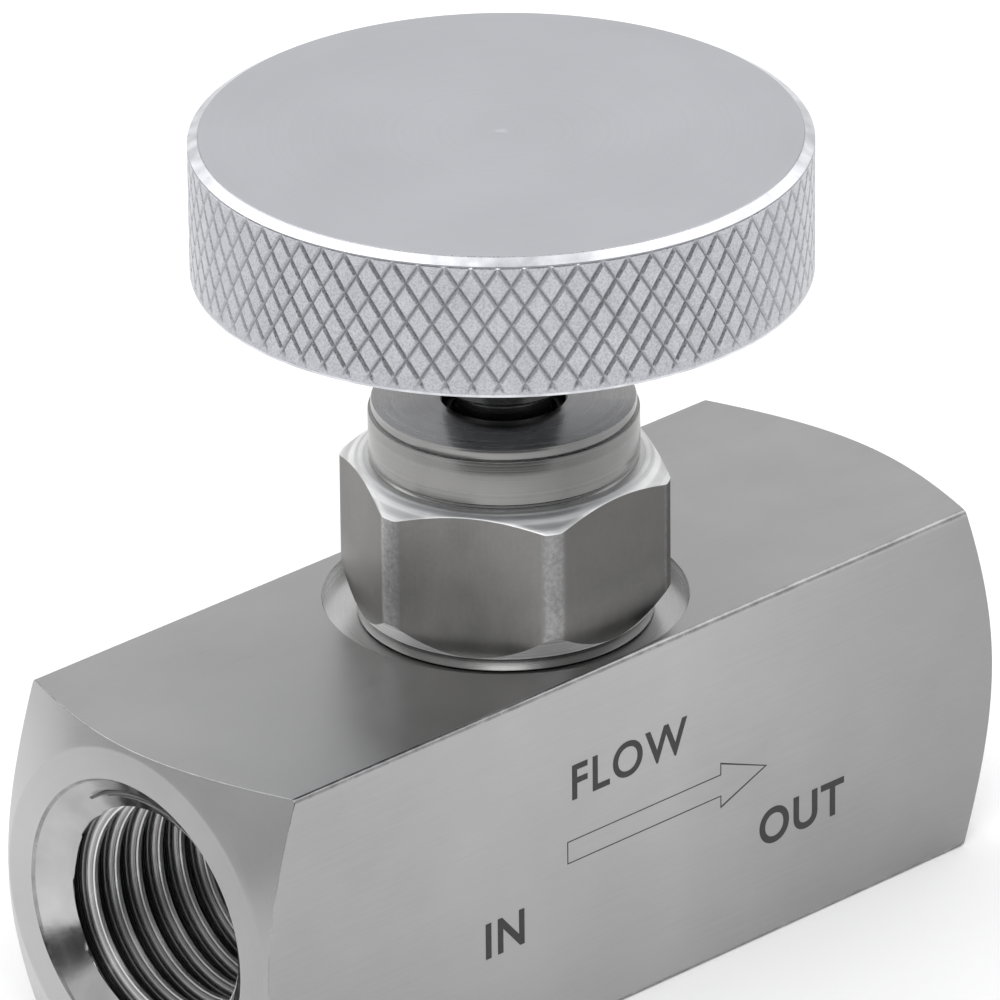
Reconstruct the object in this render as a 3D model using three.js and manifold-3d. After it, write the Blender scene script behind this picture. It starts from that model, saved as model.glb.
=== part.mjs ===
// Inline needle valve with a knurled knob. Millimetres, +Z up.
// X runs along the flow line, from the inlet at -X to the outlet at +X.
// The origin is the middle of the body's underside, and the stem stands on the Z axis.
import * as THREE from "three";
import { mergeVertices } from "three/addons/utils/BufferGeometryUtils.js";
import Module from "manifold-3d";

const wasm = await Module();
wasm.setup();

// ---- Driving dimensions ----

// Square bar body.
const BAR = 19.05;
const BODY_LENGTH = 50.8;
const BAR_EDGE = 0.4;
const END_FACE_RADIUS = 9.25;
const END_CONE_SLOPE = 0.51;

// Pipe ports, 1/4-18 tapered pipe thread, bored at the thread's inner radius.
const PORT_HEIGHT = BAR / 2;
const COUNTERSINK_RADIUS = 7.6;
const COUNTERSINK_SLOPE = 1.3;
const PORT_BORE_RADIUS = 5.7;
const PORT_TAPER = 1 / 32;
const PORT_DEPTH = 13;
const DRILL_POINT_SLOPE = 0.6;

// Bonnet socket in the top of the body.
const SPOTFACE_RADIUS = 9.2;
const SPOTFACE_DEPTH = 0.75;
const SOCKET_RADIUS = 6.3;
const SOCKET_FLOOR = 12.2;
const SEAL_LEDGE_RADIUS = 6.85;
const SEAL_LEDGE = 16.6;

// Flow passages and seat.
const CHAMBER_RADIUS = 3.6;
const CHAMBER_FLOOR = 8.4;
const SEAT_POCKET_RADIUS = 3;
const SEAT_POCKET_FLOOR = 6.9;
const SEAT_RADIUS = 2.75;
const SEAT_HEIGHT = 1.2;
const ORIFICE_RADIUS = 1.5;
const INLET_HOLE_RADIUS = 1.6;
const INLET_HOLE_SLOPE = 0.28;
const INLET_HOLE_LOW = 3.9;
const OUTLET_HOLE_RADIUS = 1.5;
const OUTLET_HOLE_HEIGHT = 10.2;

// Bonnet.
const HEX_FLATS = 15;
const HEX_CORNER_RADIUS = 8.42;
const HEX_TURN = THREE.MathUtils.degToRad(3);
const HEX_TOP = 26.8;
const HEX_SHOULDER_RADIUS = 7.3;
const HEX_CHAMFER_SLOPE = 0.6;
const COLLAR_RADIUS = 7.5;
const COLLAR_TOP = 19;
const COLLAR_CHAMFER_SLOPE = 1.4;
const SHANK_RADIUS = 6;
const UNDERCUT_RADIUS = 5.15;
const NECK_RADIUS = 6.8;
const NECK_TOP = 30.05;
const NECK_RIM_RADIUS = 6.65;
const NECK_RIM_HEIGHT = 0.6;
const SEAL_BORE_RADIUS = 3.5;
const SEAL_BORE_TOP = 21.2;
const STEM_NUT_RADIUS = 3.3;
const WIPER_POCKET_RADIUS = 3.5;
const WIPER_POCKET_FLOOR = 28.1;

// Stem and needle, drawn with the valve shut.
const PISTON_RADIUS = 3.2;
const PISTON_BOTTOM = 12.5;
const PISTON_TOP = 17.9;
const GROOVE_RADIUS = 2.2;
const GROOVE_BOTTOM = 13.9;
const GROOVE_TOP = 17.2;
const THREAD_RADIUS = 3;
const THREAD_TOP = 24.9;
const SHANK_TOP = 42.3;
const STEM_RADIUS = 2.4;
const NEEDLE_SOCKET_RADIUS = 1.5;
const NEEDLE_SOCKET_TOP = 15.85;
const CLIP_GROOVE_RADIUS = 1.85;
const NEEDLE_TIP = 6;
const NEEDLE_CONE = 4.1;
const NEEDLE_TIP_RADIUS = 0.35;
const NEEDLE_RADIUS = 2;

// Knob.
const KNOB_RADIUS = 15.5;
const KNOB_BOTTOM = 36.95;
const KNOB_TOP = 44.3;
const KNOB_RIM = 0.7;
const KNOB_RIM_DROP = 0.4;
const HUB_RADIUS = 3.1;
const HUB_BOTTOM = 30.7;
const KNOB_BORE_RADIUS = 2.65;
const DIMPLE_RADIUS = 0.7;
const SCREW_RADIUS = 1.45;
const SCREW_LENGTH = 6;
const SCREW_KEY_FLATS = 1.5;
const FLAT_DEPTH = 0.4;

// Clearances.
const GAP = 0.3;
const SEAL_GAP = 0.2;

// Facets in a full turn.
const FINE = 96;
const COARSE = 40;
const SMALL = 32;

// ---- Materials ----

function metal(color, roughness) {
  return new THREE.MeshStandardMaterial({ color, roughness, metalness: 1 });
}

function polymer(color, roughness) {
  return new THREE.MeshStandardMaterial({ color, roughness, metalness: 0 });
}

const bodySteel = metal(0xa9aaa9, 0.34);
const bonnetSteel = metal(0x8d8b88, 0.3);
const stemSteel = metal(0x9c9c9c, 0.25);
const knobAluminium = metal(0xbec0c5, 0.42);
const copper = metal(0xb87350, 0.4);
const screwSteel = metal(0x2c2c2e, 0.5);
const blackRubber = polymer(0x17181a, 0.8);
const whitePlastic = polymer(0xe8e6df, 0.5);
const seatPlastic = polymer(0xc8b48a, 0.45);

// ---- Solids ----

// Turns a closed three.js geometry into a solid, dropping the zero-area faces at a lathe's poles.
function solid(geometry) {
  const bare = geometry.clone();
  bare.deleteAttribute("normal");
  bare.deleteAttribute("uv");
  const merged = mergeVertices(bare, 1e-5);
  const index = merged.index.array;
  const kept = [];
  for (let i = 0; i < index.length; i += 3) {
    const [a, b, c] = [index[i], index[i + 1], index[i + 2]];
    if (a !== b && b !== c && c !== a) kept.push(a, b, c);
  }
  return new wasm.Manifold(new wasm.Mesh({
    numProp: 3,
    vertProperties: new Float32Array(merged.attributes.position.array),
    triVerts: new Uint32Array(kept),
  }));
}

function mesh(name, shape, material) {
  const { vertProperties, triVerts } = shape.getMesh();
  const geometry = new THREE.BufferGeometry();
  geometry.setAttribute("position", new THREE.BufferAttribute(vertProperties, 3));
  geometry.setIndex(new THREE.BufferAttribute(triVerts, 1));
  geometry.computeVertexNormals();
  const made = new THREE.Mesh(geometry, material);
  made.name = name;
  return made;
}

// Revolves [radius, height] points about +Z. The profile runs up its outer side.
function turned(points, segments) {
  const profile = points.map(([radius, height]) => new THREE.Vector2(radius, height));
  return solid(new THREE.LatheGeometry(profile, segments).rotateX(Math.PI / 2));
}

// Revolves [radius, distance] points about the port line, with distance measured along side * X.
function turnedAlongFlow(points, side, segments) {
  const profile = points.map(([radius, distance]) => new THREE.Vector2(radius, distance));
  const lathe = new THREE.LatheGeometry(profile, segments).rotateZ(-side * Math.PI / 2);
  return solid(lathe.translate(0, 0, PORT_HEIGHT));
}

// A ring of rectangular section.
function ring(inner, outer, bottom, top, segments) {
  const section = [[inner, bottom], [outer, bottom], [outer, top], [inner, top], [inner, bottom]];
  return turned(section, segments);
}

// A ring of round section.
function torus(centre, section, height, segments) {
  const steps = 10;
  const points = [];
  for (let i = 0; i <= steps; i += 1) {
    const angle = (i / steps) * 2 * Math.PI;
    points.push([centre + section * Math.cos(angle), height + section * Math.sin(angle)]);
  }
  points[steps] = points[0];
  return turned(points, segments);
}

// A straight round drilling between two points.
function drilling(from, to, radius, segments) {
  const along = new THREE.Vector3().subVectors(to, from);
  const geometry = new THREE.CylinderGeometry(radius, radius, along.length(), segments);
  const turn = new THREE.Quaternion();
  turn.setFromUnitVectors(new THREE.Vector3(0, 1, 0), along.clone().normalize());
  geometry.applyQuaternion(turn);
  const middle = new THREE.Vector3().addVectors(from, to).multiplyScalar(0.5);
  geometry.translate(middle.x, middle.y, middle.z);
  return solid(geometry);
}

// An upright hexagonal prism. With no turn, two of its corners lie along X.
function hexagon(flats, bottom, top, turn) {
  const radius = flats / Math.sqrt(3);
  const geometry = new THREE.CylinderGeometry(radius, radius, top - bottom, 6);
  geometry.rotateX(Math.PI / 2).rotateZ(Math.PI / 6 + turn).translate(0, 0, (top + bottom) / 2);
  return solid(geometry);
}

// ---- Body ----

function squareBar() {
  const half = BAR / 2;
  const inner = half - BAR_EDGE;
  const outline = new THREE.Shape([
    [-inner, -half], [inner, -half], [half, -inner], [half, inner],
    [inner, half], [-inner, half], [-half, inner], [-half, -inner],
  ].map(([across, up]) => new THREE.Vector2(across, up)));
  const bar = new THREE.ExtrudeGeometry(outline, { depth: BODY_LENGTH, bevelEnabled: false });
  bar.rotateY(Math.PI / 2).translate(-BODY_LENGTH / 2, 0, PORT_HEIGHT);
  return solid(bar);
}

// The envelope that the turned end chamfers leave: flat faces, then cones down to the bar's corners.
function endChamfers() {
  const end = BODY_LENGTH / 2;
  const widest = BAR;
  const shoulder = end - (widest - END_FACE_RADIUS) * END_CONE_SLOPE;
  return turnedAlongFlow([
    [0, -end], [END_FACE_RADIUS, -end], [widest, -shoulder],
    [widest, shoulder], [END_FACE_RADIUS, end], [0, end],
  ], 1, FINE);
}

function portBore(side) {
  const end = BODY_LENGTH / 2;
  const countersinkDepth = (COUNTERSINK_RADIUS - PORT_BORE_RADIUS) / COUNTERSINK_SLOPE;
  const bottomRadius = PORT_BORE_RADIUS - PORT_DEPTH * PORT_TAPER;
  const bottom = end - PORT_DEPTH;
  return turnedAlongFlow([
    [0, bottom - bottomRadius * DRILL_POINT_SLOPE], [bottomRadius, bottom],
    [PORT_BORE_RADIUS, end - countersinkDepth], [COUNTERSINK_RADIUS, end],
    [COUNTERSINK_RADIUS, end + 1], [0, end + 1],
  ], side, COARSE);
}

function bonnetSocket() {
  const floor = BAR - SPOTFACE_DEPTH;
  return turned([
    [0, SEAT_POCKET_FLOOR], [SEAT_POCKET_RADIUS, SEAT_POCKET_FLOOR],
    [SEAT_POCKET_RADIUS, CHAMBER_FLOOR], [CHAMBER_RADIUS, CHAMBER_FLOOR],
    [CHAMBER_RADIUS, SOCKET_FLOOR], [SOCKET_RADIUS, SOCKET_FLOOR],
    [SOCKET_RADIUS, SEAL_LEDGE], [SEAL_LEDGE_RADIUS, SEAL_LEDGE],
    [SEAL_LEDGE_RADIUS, floor], [SPOTFACE_RADIUS, floor],
    [SPOTFACE_RADIUS, BAR + 1], [0, BAR + 1],
  ], COARSE);
}

// The inlet drilling slants under the seat, and the outlet drilling leaves the chamber above it.
function passages() {
  const reach = BODY_LENGTH / 2 - PORT_DEPTH;
  const inletStart = new THREE.Vector3(-reach, 0, INLET_HOLE_LOW + reach * INLET_HOLE_SLOPE);
  const inletEnd = new THREE.Vector3(0, 0, INLET_HOLE_LOW);
  const orificeTop = new THREE.Vector3(0, 0, SEAT_POCKET_FLOOR + 1);
  const outletStart = new THREE.Vector3(0, 0, OUTLET_HOLE_HEIGHT);
  const outletEnd = new THREE.Vector3(reach, 0, OUTLET_HOLE_HEIGHT);
  return drilling(inletStart, inletEnd, INLET_HOLE_RADIUS, SMALL)
    .add(drilling(inletEnd, orificeTop, ORIFICE_RADIUS, SMALL))
    .add(drilling(outletStart, outletEnd, OUTLET_HOLE_RADIUS, SMALL));
}

function valveBody() {
  const shape = squareBar()
    .intersect(endChamfers())
    .subtract(portBore(1))
    .subtract(portBore(-1))
    .subtract(bonnetSocket())
    .subtract(passages());
  return mesh("valve_body", shape, bodySteel);
}

function seatInsert() {
  const bottom = SEAT_POCKET_FLOOR + SEAL_GAP;
  const top = bottom + SEAT_HEIGHT;
  const shape = turned([
    [ORIFICE_RADIUS, bottom], [SEAT_RADIUS, bottom], [SEAT_RADIUS, top],
    [ORIFICE_RADIUS + 0.25, top], [ORIFICE_RADIUS, top - 0.25], [ORIFICE_RADIUS, bottom],
  ], COARSE);
  return mesh("seat_insert", shape, seatPlastic);
}

// ---- Bonnet and its seals ----

function bonnet() {
  const shankBottom = SOCKET_FLOOR + 1.2;
  const hexBottom = BAR - SPOTFACE_DEPTH + GAP;
  const lowerRise = (HEX_CORNER_RADIUS - COLLAR_RADIUS) * COLLAR_CHAMFER_SLOPE;
  const upperDrop = (HEX_CORNER_RADIUS - HEX_SHOULDER_RADIUS) * HEX_CHAMFER_SLOPE;
  const hexEnvelope = turned([
    [0, COLLAR_TOP], [COLLAR_RADIUS, COLLAR_TOP], [HEX_CORNER_RADIUS, COLLAR_TOP + lowerRise],
    [HEX_CORNER_RADIUS, HEX_TOP - upperDrop], [HEX_SHOULDER_RADIUS, HEX_TOP], [0, HEX_TOP],
  ], FINE);
  const hex = hexagon(HEX_FLATS, COLLAR_TOP, HEX_TOP, HEX_TURN).intersect(hexEnvelope);
  const collar = turned([
    [0, hexBottom], [COLLAR_RADIUS - 0.12, hexBottom], [COLLAR_RADIUS - 0.02, hexBottom + 0.1],
    [COLLAR_RADIUS - 0.02, COLLAR_TOP + 0.5], [0, COLLAR_TOP + 0.5],
  ], FINE);
  const shank = turned([
    [0, shankBottom], [SHANK_RADIUS - 0.5, shankBottom], [SHANK_RADIUS, shankBottom + 0.5],
    [SHANK_RADIUS, SEAL_LEDGE], [UNDERCUT_RADIUS, SEAL_LEDGE + 0.3],
    [UNDERCUT_RADIUS, hexBottom + 1], [0, hexBottom + 1],
  ], COARSE);
  const neck = turned([
    [0, HEX_TOP - 1], [NECK_RADIUS - 0.2, HEX_TOP - 1], [NECK_RADIUS - 0.2, HEX_TOP + 0.25],
    [NECK_RADIUS, HEX_TOP + 0.4], [NECK_RADIUS, NECK_TOP - NECK_RIM_HEIGHT],
    [NECK_RIM_RADIUS, NECK_TOP - NECK_RIM_HEIGHT], [NECK_RIM_RADIUS, NECK_TOP - 0.15],
    [NECK_RIM_RADIUS - 0.15, NECK_TOP], [0, NECK_TOP],
  ], FINE);
  const bore = turned([
    [0, shankBottom - 1], [SEAL_BORE_RADIUS, shankBottom - 1], [SEAL_BORE_RADIUS, SEAL_BORE_TOP],
    [STEM_NUT_RADIUS, SEAL_BORE_TOP], [STEM_NUT_RADIUS, WIPER_POCKET_FLOOR],
    [WIPER_POCKET_RADIUS, WIPER_POCKET_FLOOR], [WIPER_POCKET_RADIUS, NECK_TOP + 1],
    [0, NECK_TOP + 1],
  ], COARSE);
  return mesh("bonnet", hex.add(collar).add(shank).add(neck).subtract(bore), bonnetSteel);
}

function bonnetGasket() {
  const shape = ring(SEAL_BORE_RADIUS + 0.4, SOCKET_RADIUS - SEAL_GAP,
    SOCKET_FLOOR + SEAL_GAP, SOCKET_FLOOR + 0.9, COARSE);
  return mesh("bonnet_gasket", shape, copper);
}

function bonnetORing() {
  const centre = (UNDERCUT_RADIUS + SEAL_LEDGE_RADIUS) / 2;
  const section = (SEAL_LEDGE_RADIUS - UNDERCUT_RADIUS) / 2 - SEAL_GAP;
  return mesh("bonnet_o_ring", torus(centre, section, SEAL_LEDGE + 1, COARSE), blackRubber);
}

// A wiper with a raised lip next to the stem.
function stemWiper() {
  const inner = STEM_RADIUS + GAP;
  const outer = WIPER_POCKET_RADIUS - SEAL_GAP;
  const bottom = WIPER_POCKET_FLOOR + SEAL_GAP;
  const shape = turned([
    [inner, bottom], [outer, bottom], [outer, bottom + 0.7], [inner + 0.3, bottom + 0.7],
    [inner + 0.15, bottom + 1], [inner, bottom + 1], [inner, bottom],
  ], COARSE);
  return mesh("stem_wiper", shape, blackRubber);
}

// ---- Needle, which rises with the stem without turning ----

function needle() {
  const coneTop = NEEDLE_TIP + NEEDLE_CONE;
  const shoulder = PISTON_BOTTOM - GAP;
  const shape = turned([
    [0, NEEDLE_TIP], [NEEDLE_TIP_RADIUS, NEEDLE_TIP], [NEEDLE_RADIUS, coneTop],
    [NEEDLE_RADIUS + 0.2, coneTop + 0.2], [NEEDLE_RADIUS + 0.2, shoulder], [0.65, shoulder],
    [0.65, shoulder + 1.5], [1.2, shoulder + 1.5], [1.2, shoulder + 2.1], [1, shoulder + 2.3],
    [0, shoulder + 2.3],
  ], SMALL);
  return mesh("needle", shape, stemSteel);
}

function thrustBall() {
  const ball = mesh("thrust_ball", solid(new THREE.SphereGeometry(0.45, 16, 10)), stemSteel);
  ball.position.z = NEEDLE_SOCKET_TOP - 0.7;
  return ball;
}

// ---- Stem and its seals ----

function stem() {
  const outside = turned([
    [0, PISTON_BOTTOM], [PISTON_RADIUS - 0.3, PISTON_BOTTOM], [PISTON_RADIUS, PISTON_BOTTOM + 0.3],
    [PISTON_RADIUS, GROOVE_BOTTOM], [GROOVE_RADIUS, GROOVE_BOTTOM], [GROOVE_RADIUS, GROOVE_TOP],
    [PISTON_RADIUS, GROOVE_TOP], [PISTON_RADIUS, PISTON_TOP], [STEM_RADIUS, PISTON_TOP],
    [STEM_RADIUS, PISTON_TOP + 0.3], [THREAD_RADIUS, PISTON_TOP + 0.9], [THREAD_RADIUS, THREAD_TOP - 0.6],
    [STEM_RADIUS, THREAD_TOP], [STEM_RADIUS, SHANK_TOP - 0.4], [STEM_RADIUS - 0.4, SHANK_TOP],
    [0, SHANK_TOP],
  ], COARSE);
  const socket = turned([
    [0, PISTON_BOTTOM - 1], [NEEDLE_SOCKET_RADIUS, PISTON_BOTTOM - 1],
    [NEEDLE_SOCKET_RADIUS, PISTON_BOTTOM + 0.4], [CLIP_GROOVE_RADIUS, PISTON_BOTTOM + 0.4],
    [CLIP_GROOVE_RADIUS, PISTON_BOTTOM + 1], [NEEDLE_SOCKET_RADIUS, PISTON_BOTTOM + 1],
    [NEEDLE_SOCKET_RADIUS, NEEDLE_SOCKET_TOP], [0, NEEDLE_SOCKET_TOP],
  ], SMALL);
  const flatHeight = 4;
  const flat = new THREE.BoxGeometry(2 * STEM_RADIUS, 2 * STEM_RADIUS, flatHeight);
  const offset = 2 * STEM_RADIUS - FLAT_DEPTH;
  const screwHeight = (KNOB_BOTTOM + KNOB_TOP) / 2;
  const flats = solid(flat.clone().translate(offset, 0, screwHeight))
    .add(solid(flat.clone().translate(0, offset, screwHeight)));
  return mesh("stem", outside.subtract(socket).subtract(flats), stemSteel);
}

function stemORing() {
  const inner = GROOVE_RADIUS + SEAL_GAP;
  const outer = SEAL_BORE_RADIUS - SEAL_GAP;
  const middle = (GROOVE_BOTTOM + GROOVE_TOP) / 2;
  const shape = torus((inner + outer) / 2, (outer - inner) / 2, middle, COARSE);
  return mesh("stem_o_ring", shape, blackRubber);
}

function stemBackupRing(name, bottom) {
  const shape = ring(GROOVE_RADIUS + SEAL_GAP, SEAL_BORE_RADIUS - SEAL_GAP, bottom, bottom + 0.7, COARSE);
  return mesh(name, shape, whitePlastic);
}

// A split ring that holds the needle's head inside the stem.
function needleRetainingRing() {
  const bottom = PISTON_BOTTOM + 0.5;
  const slot = new THREE.BoxGeometry(CLIP_GROOVE_RADIUS * 2, 0.7, 2);
  slot.translate(CLIP_GROOVE_RADIUS, 0, bottom);
  const shape = ring(0.95, CLIP_GROOVE_RADIUS - 0.25, bottom, bottom + 0.4, SMALL).subtract(solid(slot));
  return mesh("needle_retaining_ring", shape, screwSteel);
}

// ---- Knob ----

function screwHole(turn) {
  const radius = SCREW_RADIUS + 0.25;
  const length = KNOB_RADIUS + 1;
  const hole = new THREE.CylinderGeometry(radius, radius, length, SMALL);
  hole.translate(0, length / 2, (KNOB_BOTTOM + KNOB_TOP) / 2).rotateZ(turn);
  return solid(hole);
}

function knob() {
  const outside = turned([
    [0, HUB_BOTTOM], [HUB_RADIUS - 0.25, HUB_BOTTOM], [HUB_RADIUS, HUB_BOTTOM + 0.25],
    [HUB_RADIUS, KNOB_BOTTOM - 0.5], [HUB_RADIUS + 0.5, KNOB_BOTTOM],
    [KNOB_RADIUS - 0.3, KNOB_BOTTOM], [KNOB_RADIUS, KNOB_BOTTOM + 0.3],
    [KNOB_RADIUS, KNOB_TOP - KNOB_RIM_DROP], [KNOB_RADIUS - KNOB_RIM, KNOB_TOP],
    [DIMPLE_RADIUS, KNOB_TOP], [0, KNOB_TOP - DIMPLE_RADIUS / 2],
  ], FINE);
  const bore = turned([
    [0, HUB_BOTTOM - 1], [KNOB_BORE_RADIUS, HUB_BOTTOM - 1],
    [KNOB_BORE_RADIUS, SHANK_TOP + GAP], [0, SHANK_TOP + GAP],
  ], COARSE);
  const shape = outside.subtract(bore).subtract(screwHole(0)).subtract(screwHole(-Math.PI / 2));
  return mesh("knob", shape, knobAluminium);
}

// A grub screw lying along +Y from the stem's flat, with a hexagonal key socket in its outer end.
function setScrew(name, turn) {
  const start = STEM_RADIUS - FLAT_DEPTH + GAP;
  const profile = [
    [0, start], [SCREW_RADIUS - 0.5, start], [SCREW_RADIUS, start + 0.5],
    [SCREW_RADIUS, start + SCREW_LENGTH], [0, start + SCREW_LENGTH],
  ];
  const key = hexagon(SCREW_KEY_FLATS, start + SCREW_LENGTH - 1.6, start + SCREW_LENGTH + 1, 0);
  const screw = mesh(name, turned(profile, SMALL).subtract(key), screwSteel);
  screw.rotation.set(-Math.PI / 2, 0, turn, "ZYX");
  screw.position.z = (KNOB_BOTTOM + KNOB_TOP) / 2;
  return screw;
}

// ---- Assembly ----

const housing = new THREE.Group();
housing.add(valveBody(), seatInsert(), bonnet(), bonnetGasket(), bonnetORing(), stemWiper());

const needleCarriage = new THREE.Group();
needleCarriage.add(needle(), thrustBall());

const spindle = new THREE.Group();
spindle.add(
  stem(),
  stemORing(),
  stemBackupRing("stem_backup_ring_lower", GROOVE_BOTTOM + SEAL_GAP),
  stemBackupRing("stem_backup_ring_upper", GROOVE_TOP - SEAL_GAP - 0.7),
  needleRetainingRing(),
  knob(),
  setScrew("knob_set_screw_rear", 0),
  setScrew("knob_set_screw_side", -Math.PI / 2),
);

const valve = new THREE.Group();
valve.add(housing, needleCarriage, spindle);

export default valve;
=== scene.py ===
"""The looks of an inline needle valve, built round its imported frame. Metres, +Z up, X along the flow."""
import math

import bpy
import numpy as np
from mathutils import Matrix, Vector


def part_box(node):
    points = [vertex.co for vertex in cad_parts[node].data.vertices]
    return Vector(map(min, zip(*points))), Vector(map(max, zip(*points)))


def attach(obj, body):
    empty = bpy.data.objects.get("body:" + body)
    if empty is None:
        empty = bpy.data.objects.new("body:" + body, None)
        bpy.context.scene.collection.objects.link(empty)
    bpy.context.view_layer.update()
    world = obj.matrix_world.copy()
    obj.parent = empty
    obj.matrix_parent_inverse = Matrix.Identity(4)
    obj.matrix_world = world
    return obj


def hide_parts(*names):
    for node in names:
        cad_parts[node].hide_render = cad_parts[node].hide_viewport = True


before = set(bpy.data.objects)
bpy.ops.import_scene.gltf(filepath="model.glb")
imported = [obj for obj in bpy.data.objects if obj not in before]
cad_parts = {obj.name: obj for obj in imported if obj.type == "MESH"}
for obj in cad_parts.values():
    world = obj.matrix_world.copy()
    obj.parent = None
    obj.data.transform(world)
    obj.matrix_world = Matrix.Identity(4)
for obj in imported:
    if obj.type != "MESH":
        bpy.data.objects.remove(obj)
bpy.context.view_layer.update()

# ---- Sizes from the frame ----

body_low, body_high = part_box("valve_body")
bonnet_low, bonnet_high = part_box("bonnet")
knob_low, knob_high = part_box("knob")

BAR = body_high.z
END = body_high.x
PORT_HEIGHT = BAR / 2
PORT_AXIS = (0, 0, PORT_HEIGHT)
KNOB_RADIUS = knob_high.x
KNOB_TOP = knob_high.z
HUB_BOTTOM = knob_low.z
SHANK_BOTTOM = bonnet_low.z
NECK_TOP = bonnet_high.z

# ---- Finer sizes, in metres ----

# Bar body and its ports.
BAR_CORNER = 0.00022
END_FACE_RADIUS = 0.00925
END_CONE_SLOPE = 0.51
END_BLEND = 0.00008
BREAK = 0.00004
COUNTERSINK_RADIUS = 0.0076
COUNTERSINK_SLOPE = 1.3
PIPE_MINOR_RADIUS = 0.0057
PIPE_PITCH = 0.001411
PIPE_THREAD_HEIGHT = 0.00104
PIPE_TAPER = 1 / 32
PORT_DEPTH = 0.013
PORT_DRILL_POINT = 0.0032
FULL_THREAD = 0.0098
THREAD_RUNOUT = 0.0025
THREAD_STEP = PIPE_PITCH / 16
THREAD_FLAT = 0.15
THREAD_START = 0.213

# The bonnet's socket, the chamber under it, the seat's pocket and the drillings.
SPOTFACE_RADIUS = 0.0092
SPOTFACE_FLOOR = BAR - 0.00075
SOCKET_RADIUS = 0.0063
SOCKET_FLOOR = 0.0122
SEAL_LEDGE_RADIUS = 0.00685
SEAL_LEDGE = 0.0166
CHAMBER_RADIUS = 0.0036
CHAMBER_FLOOR = 0.0084
SEAT_POCKET_RADIUS = 0.003
SEAT_POCKET_FLOOR = 0.0069
ORIFICE_RADIUS = 0.0015
ORIFICE_TOP = 0.0079
INLET_HOLE_RADIUS = 0.0016
INLET_HOLE_SLOPE = 0.28
INLET_HOLE_LOW = 0.0039
OUTLET_HOLE_RADIUS = 0.0015
OUTLET_HOLE_HEIGHT = 0.0102
DRILL_OVERLAP = 0.0001
CUTTER_PAST = 0.001

# Bonnet.
EASE = 0.00003  # the rounding of the finest edges
HEX_FLATS = 0.015
HEX_CORNER_RADIUS = 0.00842
HEX_BLEND = 0.00004
HEX_NICK = 0.00001
HEX_TURN = math.radians(3)
HEX_TOP = 0.0268
HEX_SHOULDER_RADIUS = 0.0073
HEX_CHAMFER_SLOPE = 0.6
COLLAR_RADIUS = 0.00748
COLLAR_BOTTOM = SPOTFACE_FLOOR + 0.00004
COLLAR_EDGE = 0.00012
COLLAR_TOP = 0.019
COLLAR_CHAMFER_SLOPE = 1.4
SHANK_RADIUS = 0.006
SHANK_CHAMFER = 0.0005
UNDERCUT_RADIUS = 0.00515
UNDERCUT_SLANT = 0.0003
SEAL_BORE_RADIUS = 0.0035
SEAL_BORE_TOP = 0.0212
STEM_NUT_RADIUS = 0.0033
WIPER_POCKET_RADIUS = 0.0035
WIPER_POCKET_FLOOR = 0.0281
NECK_RADIUS = 0.0068
NECK_GROOVE = 0.0002
NECK_RIM_RADIUS = 0.00665
NECK_RIM_HEIGHT = 0.0006
NECK_STEP_EDGE = 0.00005
NECK_LIP_RADIUS = 0.0031
NECK_LIP_EDGE = 0.0001
NECK_LIP_DEPTH = 0.0005

# Rounded edges of the neck, as steps (outwards, upwards) from the edge's sharp corner.
NECK_STEP_FOOT = ((-0.00002, 0.00005), (0, 0.00013))
NECK_RIM_EDGE = ((0, -0.00014), (-0.00005, -0.00003), (-0.00016, 0))

# Knob.
KNOB_BOTTOM = 0.03695
KNOB_FOOT_EDGE = 0.0002
KNOB_RIM = 0.0005
KNOB_RIM_DROP = 0.00032
KNOB_RIM_STEP = 0.00005
KNOB_BORE_RADIUS = 0.00265
KNOB_BORE_TOP = 0.0426
KNOB_BORE_POINT = 0.0432
HUB_RADIUS = 0.0031
HUB_CHAMFER = 0.0002
HUB_NICK = 0.00001
HUB_FILLET = 0.0005
FACE_MIDDLE_RADIUS = 0.006
KNURLS = 75
KNURL_STEPS = 16
KNURL_HALF_WIDTH = 0.125
KNURL_PITCH_UP = 0.00203
KNURL_DEPTH = 0.0001
KNURL_BOTTOM = KNOB_BOTTOM + 0.00022
KNURL_TOP = KNOB_TOP - 0.00046
KNURL_LINE_DEPTH = 0.00006
KNURL_LINE_LOW = 0.00004
KNURL_LINE_HIGH = 0.00009
SCREW_HEIGHT = (KNOB_BOTTOM + KNOB_TOP) / 2
SCREW_HOLE_RADIUS = 0.0017

# The turning centre's dimple in the knob's top, as (radius, depth) from its edge to its middle.
DIMPLE = ((0.00048, 0), (0.00042, 0), (0.0003, 0.00002), (0.00014, 0.00006), (0, 0.00007))

# Marks on the side.
MARK_PROUD = 0.000012
MARK_SUNK = 0.00001
LETTER_SIZE = 0.0027
LETTER_GAPS = 1.12
LETTER_PROUD = 0.000011

# Mesh and material settings.
SHARP_BEND = math.radians(32)
WELD_GAP = 1e-8
LATHE_RISE = 0.93


# ---- Mesh tools ----

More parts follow.
